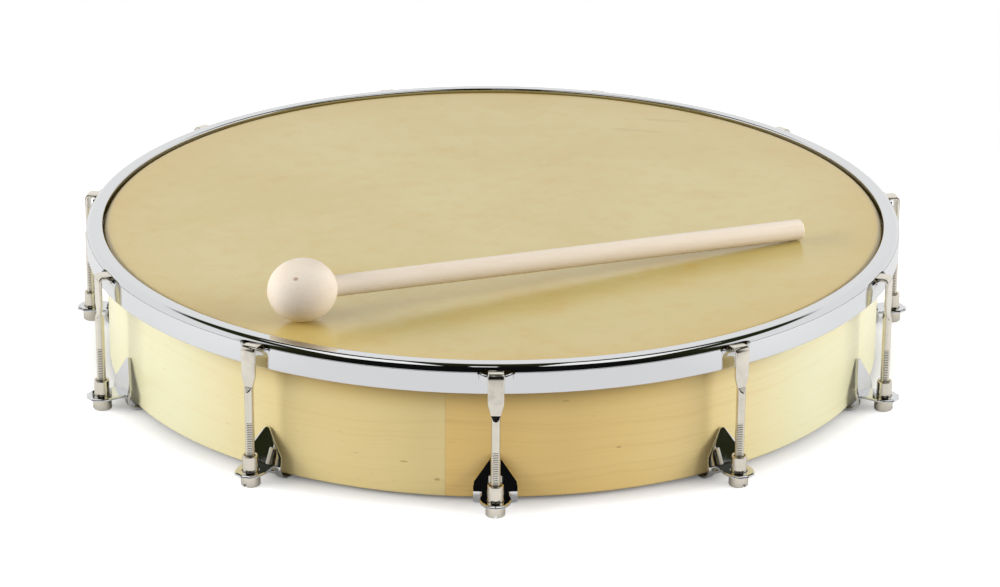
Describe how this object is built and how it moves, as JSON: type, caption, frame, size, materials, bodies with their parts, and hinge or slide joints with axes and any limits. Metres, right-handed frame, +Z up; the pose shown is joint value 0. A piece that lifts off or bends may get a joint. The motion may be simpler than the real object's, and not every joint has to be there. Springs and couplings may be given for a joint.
{
  "type": "hand drum",
  "caption": "Shallow round hand drum with a tunable skin held by a metal hoop, claw hooks and sleeve nuts on a bent wood shell, with a wooden ball beater lying on the skin.",
  "frame": {"origin": "on the drum's axis, in the plane that the heads of the tension nuts stand on", "axes": "+Z up along the drum's axis towards the skin, -Y towards the front tension station, +X to the right seen from the front"},
  "size_m": [0.3874, 0.3834, 0.0899],
  "materials": {
    "shell_wood": "clear lacquered birch",
    "skin": "natural rawhide, smooth and slightly mottled",
    "flesh_hoop_wood": "bare",
    "chrome_sheet": "mirror polished",
    "nickel_steel": "bright nickel",
    "beater_wood": "bare, sanded"
  },
  "bodies": {
    "drum_body": {"shell": "shell_wood", "drumhead": "skin", "flesh_hoop": "flesh_hoop_wood", "bracket_01": "chrome_sheet", "bracket_02": "chrome_sheet", "bracket_03": "chrome_sheet", "bracket_04": "chrome_sheet", "bracket_05": "chrome_sheet", "bracket_06": "chrome_sheet", "bracket_07": "chrome_sheet", "bracket_08": "chrome_sheet", "bracket_09": "chrome_sheet", "bracket_10": "chrome_sheet", "bracket_11": "chrome_sheet"},
    "hoop_and_hooks": {"counter_hoop": "chrome_sheet", "hook_01": "nickel_steel", "hook_02": "nickel_steel", "hook_03": "nickel_steel", "hook_04": "nickel_steel", "hook_05": "nickel_steel", "hook_06": "nickel_steel", "hook_07": "nickel_steel", "hook_08": "nickel_steel", "hook_09": "nickel_steel", "hook_10": "nickel_steel", "hook_11": "nickel_steel"},
    "nut_01_body": {"nut_01": "nickel_steel"},
    "nut_02_body": {"nut_02": "nickel_steel"},
    "nut_03_body": {"nut_03": "nickel_steel"},
    "nut_04_body": {"nut_04": "nickel_steel"},
    "nut_05_body": {"nut_05": "nickel_steel"},
    "nut_06_body": {"nut_06": "nickel_steel"},
    "nut_07_body": {"nut_07": "nickel_steel"},
    "nut_08_body": {"nut_08": "nickel_steel"},
    "nut_09_body": {"nut_09": "nickel_steel"},
    "nut_10_body": {"nut_10": "nickel_steel"},
    "nut_11_body": {"nut_11": "nickel_steel"},
    "beater": {"beater_head": "beater_wood", "beater_shaft": "beater_wood"}
  },
  "joints": [
    {"name": "nut_01_turn", "type": "hinge", "parent": "drum_body", "child": "nut_01_body", "pos_m": [0, -0.1886, 0], "axis": [0, 0, -1], "range_deg": [0, 1800]},
    {"name": "nut_02_turn", "type": "hinge", "parent": "drum_body", "child": "nut_02_body", "pos_m": [0.10197, -0.15866, 0], "axis": [0, 0, -1], "range_deg": [0, 1800]},
    {"name": "nut_03_turn", "type": "hinge", "parent": "drum_body", "child": "nut_03_body", "pos_m": [0.17156, -0.07835, 0], "axis": [0, 0, -1], "range_deg": [0, 1800]},
    {"name": "nut_04_turn", "type": "hinge", "parent": "drum_body", "child": "nut_04_body", "pos_m": [0.18668, 0.02684, 0], "axis": [0, 0, -1], "range_deg": [0, 1800]},
    {"name": "nut_05_turn", "type": "hinge", "parent": "drum_body", "child": "nut_05_body", "pos_m": [0.14253, 0.12351, 0], "axis": [0, 0, -1], "range_deg": [0, 1800]},
    {"name": "nut_06_turn", "type": "hinge", "parent": "drum_body", "child": "nut_06_body", "pos_m": [0.05314, 0.18096, 0], "axis": [0, 0, -1], "range_deg": [0, 1800]},
    {"name": "nut_07_turn", "type": "hinge", "parent": "drum_body", "child": "nut_07_body", "pos_m": [-0.05314, 0.18096, 0], "axis": [0, 0, -1], "range_deg": [0, 1800]},
    {"name": "nut_08_turn", "type": "hinge", "parent": "drum_body", "child": "nut_08_body", "pos_m": [-0.14253, 0.12351, 0], "axis": [0, 0, -1], "range_deg": [0, 1800]},
    {"name": "nut_09_turn", "type": "hinge", "parent": "drum_body", "child": "nut_09_body", "pos_m": [-0.18668, 0.02684, 0], "axis": [0, 0, -1], "range_deg": [0, 1800]},
    {"name": "nut_10_turn", "type": "hinge", "parent": "drum_body", "child": "nut_10_body", "pos_m": [-0.17156, -0.07835, 0], "axis": [0, 0, -1], "range_deg": [0, 1800]},
    {"name": "nut_11_turn", "type": "hinge", "parent": "drum_body", "child": "nut_11_body", "pos_m": [-0.10197, -0.15866, 0], "axis": [0, 0, -1], "range_deg": [0, 1800]},
    {"name": "hoop_lift", "type": "slide", "parent": "drum_body", "child": "hoop_and_hooks", "axis": [0, 0, 1], "range_m": [0, 0.004]},
    {"name": "beater_lift", "type": "slide", "parent": "drum_body", "child": "beater", "axis": [0, 0, 1], "range_m": [0, 0.12]}
  ],
  "couplings": [
    {"joint": "nut_01_turn", "follows": "hoop_lift", "rad_per_m": 7854},
    {"joint": "nut_02_turn", "follows": "hoop_lift", "rad_per_m": 7854},
    {"joint": "nut_03_turn", "follows": "hoop_lift", "rad_per_m": 7854},
    {"joint": "nut_04_turn", "follows": "hoop_lift", "rad_per_m": 7854},
    {"joint": "nut_05_turn", "follows": "hoop_lift", "rad_per_m": 7854},
    {"joint": "nut_06_turn", "follows": "hoop_lift", "rad_per_m": 7854},
    {"joint": "nut_07_turn", "follows": "hoop_lift", "rad_per_m": 7854},
    {"joint": "nut_08_turn", "follows": "hoop_lift", "rad_per_m": 7854},
    {"joint": "nut_09_turn", "follows": "hoop_lift", "rad_per_m": 7854},
    {"joint": "nut_10_turn", "follows": "hoop_lift", "rad_per_m": 7854},
    {"joint": "nut_11_turn", "follows": "hoop_lift", "rad_per_m": 7854}
  ]
}
